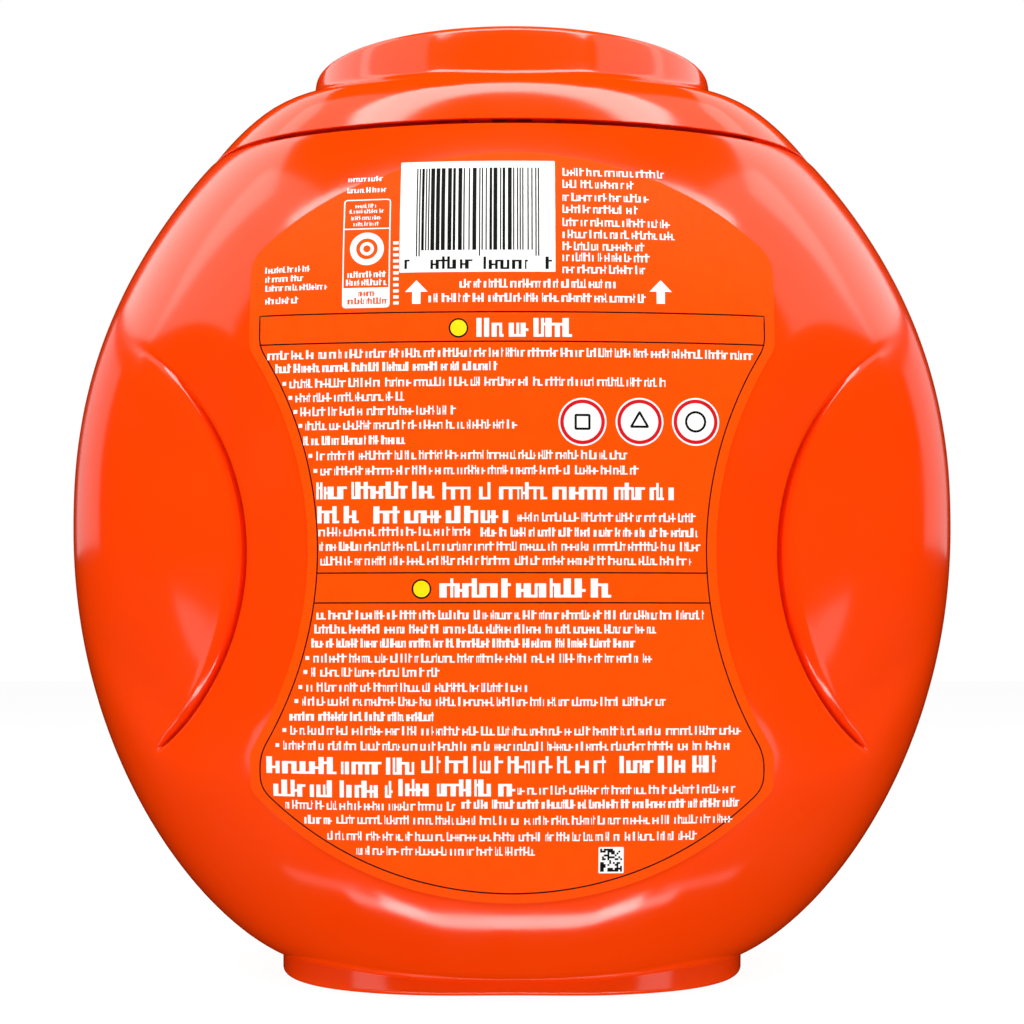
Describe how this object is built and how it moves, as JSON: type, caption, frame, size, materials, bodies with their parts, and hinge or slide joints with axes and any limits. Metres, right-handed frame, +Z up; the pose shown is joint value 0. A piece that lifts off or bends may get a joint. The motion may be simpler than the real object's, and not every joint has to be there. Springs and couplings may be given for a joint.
{
  "type": "laundry pod tub",
  "caption": "Wide oval tub for laundry pods, with hand grips pressed into its sides and a domed lid that hinges at the back.",
  "frame": {"origin": "middle of the foot's base, on the surface that the tub stands on", "axes": "+Z up; -Y towards the labelled back, where the lid is hinged; +X to the right when the back is seen"},
  "size_m": [0.24, 0.1562, 0.242],
  "materials": {
    "tub_plastic": "glossy moulded orange polymer, faintly wavy from blow moulding",
    "collar_plastic": "smooth injection-moulded orange polymer",
    "lid_plastic": "smooth glossy injection-moulded orange polymer",
    "label_film": "thin printed film, slightly lighter orange than the tub"
  },
  "bodies": {
    "tub_body": {"tub": "tub_plastic", "collar": "collar_plastic", "label_back": "label_film"},
    "lid_body": {"lid": "lid_plastic"}
  },
  "joints": [
    {"name": "lid_hinge", "type": "hinge", "parent": "tub_body", "child": "lid_body", "pos_m": [0, -0.0552, 0.22], "axis": [1, 0, 0], "range_deg": [0, 100]}
  ]
}
